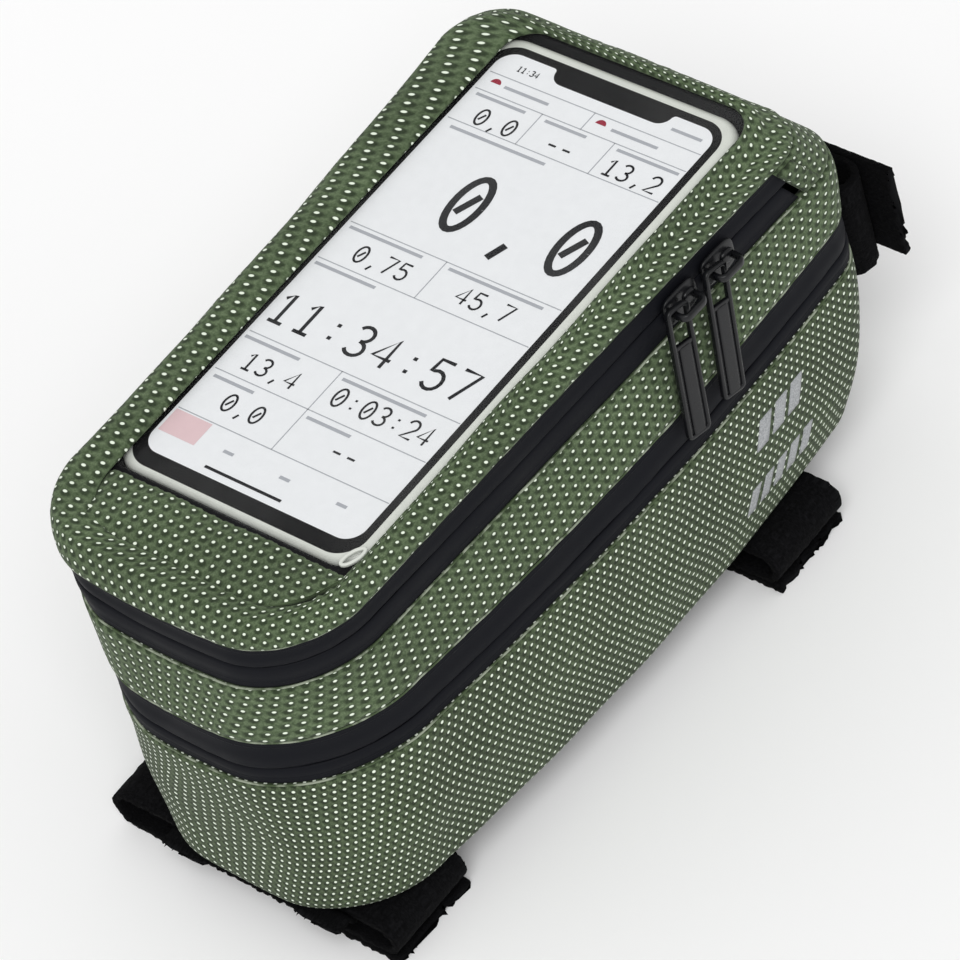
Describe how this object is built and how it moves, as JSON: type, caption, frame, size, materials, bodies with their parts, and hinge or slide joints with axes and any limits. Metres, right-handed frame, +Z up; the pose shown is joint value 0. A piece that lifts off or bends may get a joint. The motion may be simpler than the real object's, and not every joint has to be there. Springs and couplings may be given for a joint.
{
  "type": "top tube phone bag",
  "caption": "Green dotted top tube bag for a bicycle, with a clear phone window in its zipped lid, an expansion zip round its middle and hook-and-loop straps.",
  "frame": {"origin": "on the surface that the flattened strap loops rest on, under the middle of the bag", "axes": "+Y towards the head tube, the front of the bag; +Z up; +X to the bag's right, the side with the two upper sliders"},
  "size_m": [0.1117, 0.2188, 0.1188],
  "materials": {
    "green_fabric": "woven polyester with small light dots",
    "black_lining": "plain black lining",
    "base_board": "stiff plastic board",
    "zip_tape": "coated matte zip tape",
    "zip_coil": "nylon coil",
    "window_film": "clear film",
    "phone_shell": "smooth pale shell",
    "phone_glass": "screen glass, lit",
    "black_metal": "glossy black paint",
    "hook_and_loop": "fuzzy black hook-and-loop webbing"
  },
  "bodies": {
    "bag": {"lower_wall": "green_fabric", "base_panel": "black_lining", "base_board": "base_board", "lower_zip_bottom_tape": "zip_tape", "lower_zip_bottom_coil": "zip_coil", "lower_zip_top_tape": "zip_tape", "lower_zip_top_coil": "zip_coil", "expansion_gusset": "black_lining", "middle_band": "green_fabric", "lid_hinge_fabric": "green_fabric", "upper_zip_bottom_tape": "zip_tape", "upper_zip_bottom_coil": "zip_coil", "zip_end_tab_left": "green_fabric", "zip_end_tab_right": "green_fabric", "rear_strap": "hook_and_loop", "front_strap": "hook_and_loop", "head_strap": "hook_and_loop", "rear_guide_left": "hook_and_loop", "rear_guide_right": "hook_and_loop", "front_guide_left": "hook_and_loop", "front_guide_right": "hook_and_loop", "head_guide": "hook_and_loop"},
    "lid": {"lid_rim": "green_fabric", "near_panel": "green_fabric", "window_film": "window_film", "phone_pocket": "black_lining", "phone_body": "phone_shell", "phone_screen": "phone_glass", "upper_zip_top_tape": "zip_tape", "upper_zip_top_coil": "zip_coil"},
    "near_slider": {"near_slider": "black_metal"},
    "far_slider": {"far_slider": "black_metal"},
    "lower_slider": {"lower_slider": "black_metal"},
    "near_pull": {"near_pull": "black_metal"},
    "far_pull": {"far_pull": "black_metal"},
    "lower_pull": {"lower_pull": "black_metal"}
  },
  "joints": [
    {"name": "lid_hinge", "type": "hinge", "parent": "bag", "child": "lid", "pos_m": [0, 0.09535, 0.111], "axis": [-1, 0, 0], "range_deg": [0, 95]},
    {"name": "near_slider_run", "type": "slide", "parent": "bag", "child": "near_slider", "axis": [-0.0423, -0.9991, 0], "range_m": [0, 0.041]},
    {"name": "far_slider_run", "type": "slide", "parent": "bag", "child": "far_slider", "axis": [0.0431, 0.9991, 0], "range_m": [0, 0.012]},
    {"name": "lower_slider_run", "type": "slide", "parent": "bag", "child": "lower_slider", "axis": [0.0004, -1, 0], "range_m": [0, 0.015]},
    {"name": "near_pull_swing", "type": "hinge", "parent": "near_slider", "child": "near_pull", "pos_m": [0.04997, 0.03706, 0.10365], "axis": [-0.9912, 0.042, -0.1254], "range_deg": [-3, 70]},
    {"name": "far_pull_swing", "type": "hinge", "parent": "far_slider", "child": "far_pull", "pos_m": [0.05056, 0.05105, 0.10365], "axis": [0.9938, -0.0429, 0.1025], "range_deg": [-3, 55]},
    {"name": "lower_pull_swing", "type": "hinge", "parent": "lower_slider", "child": "lower_pull", "pos_m": [-0.05376, 0.0362, 0.0677], "axis": [-0.9976, -0.0004, 0.0698], "range_deg": [-55, 70]}
  ]
}
